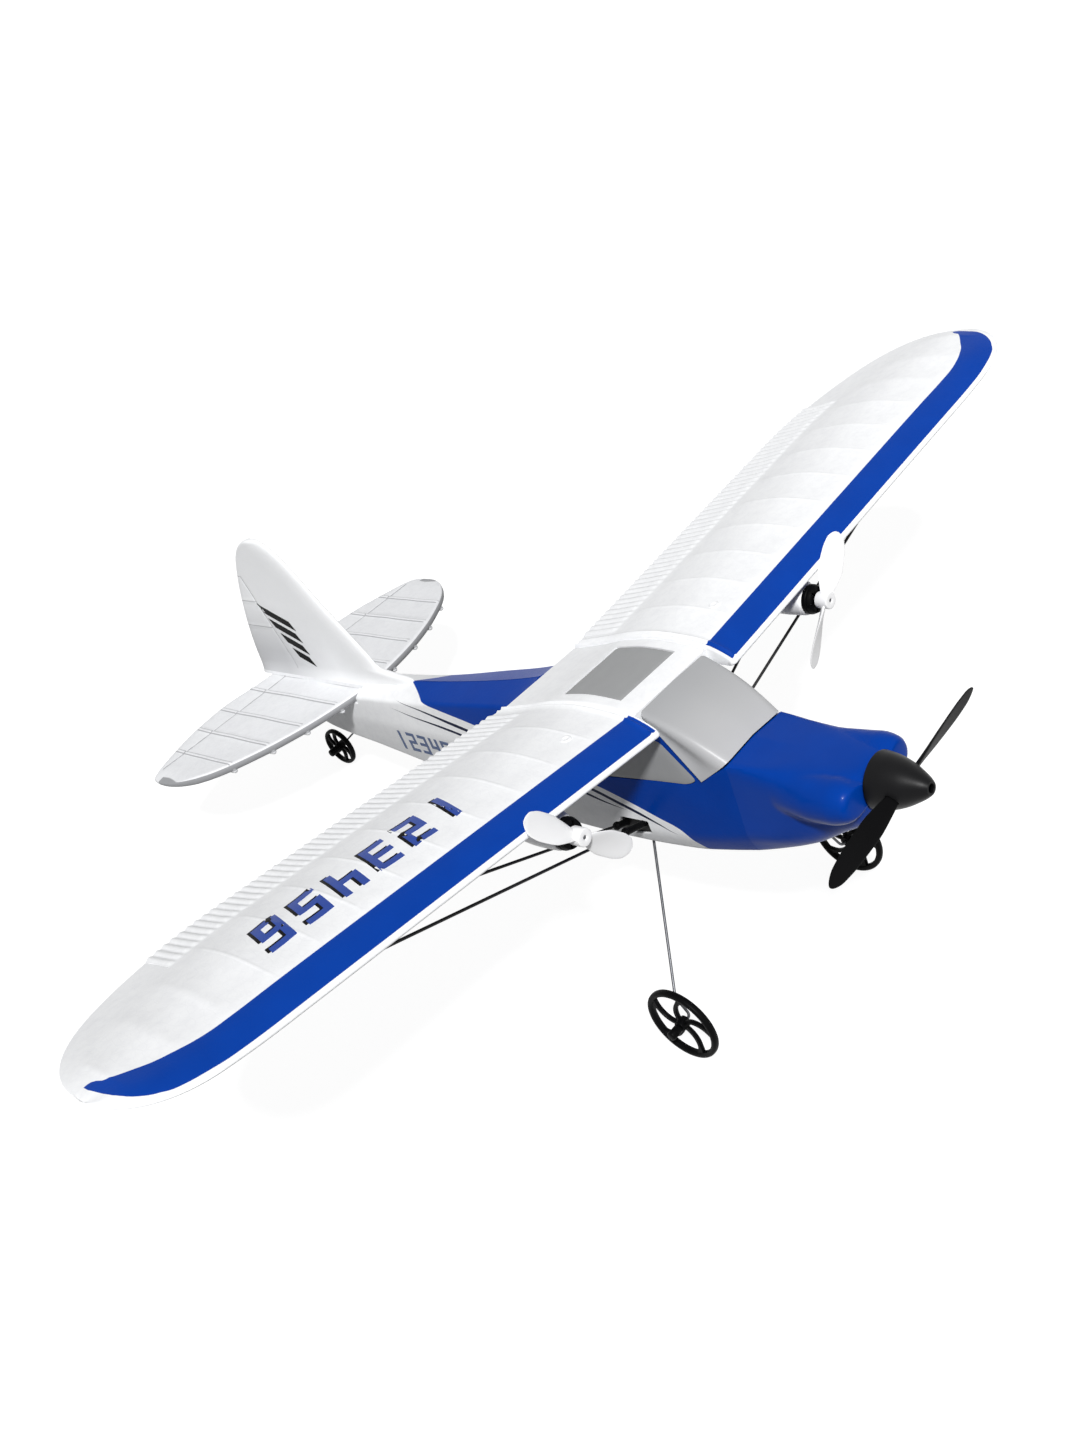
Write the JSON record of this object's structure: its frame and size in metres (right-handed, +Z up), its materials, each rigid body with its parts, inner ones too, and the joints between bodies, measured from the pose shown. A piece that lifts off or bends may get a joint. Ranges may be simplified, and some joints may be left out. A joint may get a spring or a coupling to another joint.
{
  "type": "rc airplane",
  "caption": "Small foam remote-control high-wing aeroplane with underwing motors, a free nose propeller, wing struts, spoked wheels on wire legs and a belly hatch.",
  "frame": {"origin": "on the ground under the middle of the aeroplane's box, as it stands on its three wheels", "axes": "+X to the aeroplane's left wing tip, +Y to its tail, +Z up"},
  "size_m": [0.399, 0.304, 0.121],
  "materials": {
    "foam": "matte moulded foam skin, white, painted blue on deck and wing stripe",
    "blue_gloss": "glossy blue",
    "grey_glazing": "glossy light grey",
    "black_plastic": "glossy black",
    "white_plastic": "satin white",
    "steel_wire": "drawn spring wire",
    "brass": "turned brass",
    "carbon_rod": "smooth black rod",
    "battery_wrap": "foil pouch, light grey",
    "motor_can": "plated can",
    "circuit_board": "green board",
    "foam_tape": "white foam tape",
    "red_wire": "red insulation",
    "black_wire": "black insulation"
  },
  "bodies": {
    "airframe": {"battery": "battery_wrap", "battery_lead_black": "black_wire", "battery_lead_red": "red_wire", "battery_plug": "white_plastic", "battery_socket": "white_plastic", "board_tape_pad": "foam_tape", "control_board": "circuit_board", "cowl": "blue_gloss", "equipment_tray": "black_plastic", "fin": "foam", "fuselage_half_left": "foam", "fuselage_half_right": "foam", "gear_leg_left": "steel_wire", "gear_leg_right": "steel_wire", "hatch_hinge_pin": "steel_wire", "main_wheel_retainer_left": "black_plastic", "main_wheel_retainer_right": "black_plastic", "motor_cap_left": "black_plastic", "motor_cap_right": "black_plastic", "motor_lead_left": "red_wire", "motor_lead_right": "red_wire", "motor_left": "motor_can", "motor_nacelle_left": "white_plastic", "motor_nacelle_right": "white_plastic", "motor_right": "motor_can", "nose_bearing": "brass", "side_window_left": "grey_glazing", "side_window_right": "grey_glazing", "skylight": "grey_glazing", "stabilizer": "foam", "strut_anchor_front_left": "black_plastic", "strut_anchor_front_right": "black_plastic", "strut_anchor_rear_left": "black_plastic", "strut_anchor_rear_right": "black_plastic", "strut_front_left": "carbon_rod", "strut_front_right": "carbon_rod", "strut_mount": "black_plastic", "strut_rear_left": "carbon_rod", "strut_rear_right": "carbon_rod", "tail_wheel_retainer": "black_plastic", "tail_wheel_wire": "steel_wire", "windshield": "grey_glazing", "wing_center_section": "foam", "wing_panel_left": "foam", "wing_panel_right": "foam"},
    "nose_rotor": {"nose_propeller": "black_plastic", "spinner": "black_plastic", "nose_shaft": "steel_wire", "nose_shaft_collar": "brass"},
    "rotor_left": {"propeller_left": "white_plastic", "motor_shaft_left": "steel_wire"},
    "rotor_right": {"propeller_right": "white_plastic", "motor_shaft_right": "steel_wire"},
    "wheel_left": {"main_wheel_left": "black_plastic"},
    "wheel_right": {"main_wheel_right": "black_plastic"},
    "wheel_tail": {"tail_wheel": "black_plastic"},
    "hatch": {"battery_hatch": "foam"}
  },
  "joints": [
    {"name": "nose_propeller_spin", "type": "hinge", "parent": "airframe", "child": "nose_rotor", "pos_m": [0, -0.14332, 0.0963], "axis": [0, 0.9771, -0.2126], "continuous": true},
    {"name": "propeller_left_spin", "type": "hinge", "parent": "airframe", "child": "rotor_left", "pos_m": [0.0603, -0.0801, 0.09851], "axis": [0, 0.9771, -0.2126], "continuous": true},
    {"name": "propeller_right_spin", "type": "hinge", "parent": "airframe", "child": "rotor_right", "pos_m": [-0.0603, -0.0801, 0.09851], "axis": [0, 0.9771, -0.2126], "continuous": true},
    {"name": "main_wheel_left_roll", "type": "hinge", "parent": "airframe", "child": "wheel_left", "pos_m": [0.0463, -0.089, 0.01294], "axis": [1, 0, 0], "continuous": true},
    {"name": "main_wheel_right_roll", "type": "hinge", "parent": "airframe", "child": "wheel_right", "pos_m": [-0.0463, -0.089, 0.01294], "axis": [1, 0, 0], "continuous": true},
    {"name": "tail_wheel_roll", "type": "hinge", "parent": "airframe", "child": "wheel_tail", "pos_m": [0, 0.11859, 0.00799], "axis": [1, 0, 0], "continuous": true},
    {"name": "battery_hatch_hinge", "type": "hinge", "parent": "airframe", "child": "hatch", "pos_m": [0, -0.09859, 0.06339], "axis": [-1, 0, 0], "range_deg": [0, 95]}
  ]
}
